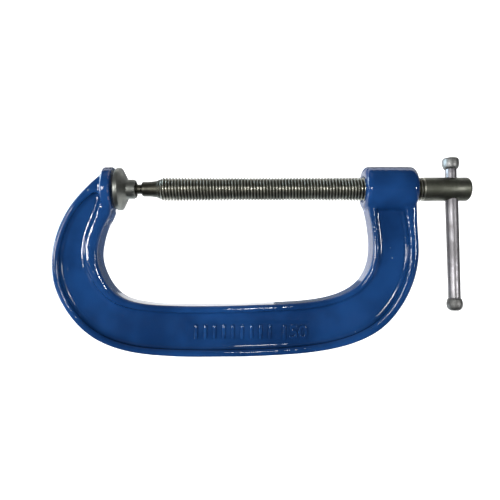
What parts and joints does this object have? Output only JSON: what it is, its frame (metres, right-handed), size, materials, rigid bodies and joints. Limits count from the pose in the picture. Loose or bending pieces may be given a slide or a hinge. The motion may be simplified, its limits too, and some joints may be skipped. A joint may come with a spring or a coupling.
{
  "type": "c clamp",
  "caption": "C clamp with a ribbed cast C frame, a screw with a sliding T-bar, and a round swivel shoe that closes on a round anvil.",
  "frame": {"origin": "centre of the anvil face, where the screw axis meets it", "axes": "+X along the screw, from the anvil to the handle; +Z away from the spine of the C; Y through the casting's thickness, so the picture looks along +Y"},
  "size_m": [0.2815, 0.0304, 0.1345],
  "materials": {
    "enamelled_casting": "thick glossy dark blue enamel over a rough casting",
    "screw_steel": "oiled, slightly olive turned steel",
    "shoe_steel": "satin turned steel, dark grey",
    "spring_steel": "dark spring steel",
    "bar_steel": "drawn bright bar, lightly dulled"
  },
  "bodies": {
    "frame": {"frame": "enamelled_casting"},
    "screw_carrier": {"retaining_ring": "spring_steel"},
    "spindle": {"spindle": "screw_steel"},
    "swivel_shoe": {"swivel_shoe": "shoe_steel"},
    "tommy_bar": {"tommy_bar": "bar_steel", "bar_end_knob": "bar_steel"}
  },
  "joints": [
    {"name": "screw_turn", "type": "hinge", "parent": "screw_carrier", "child": "spindle", "pos_m": [0, 0, 0], "axis": [1, 0, 0], "range_deg": [0, 26000]},
    {"name": "screw_travel", "type": "slide", "parent": "frame", "child": "screw_carrier", "axis": [1, 0, 0], "range_m": [0, 0.1529]},
    {"name": "shoe_tilt", "type": "hinge", "parent": "screw_carrier", "child": "swivel_shoe", "pos_m": [0.0096, 0, 0], "axis": [0, 1, 0], "range_deg": [-6, 6]},
    {"name": "bar_slide", "type": "slide", "parent": "spindle", "child": "tommy_bar", "axis": [0, 0.0698, 0.9976], "range_m": [-0.005, 0.0645]}
  ],
  "couplings": [
    {"joint": "screw_travel", "follows": "screw_turn", "m_per_rad": 0.00033688}
  ]
}
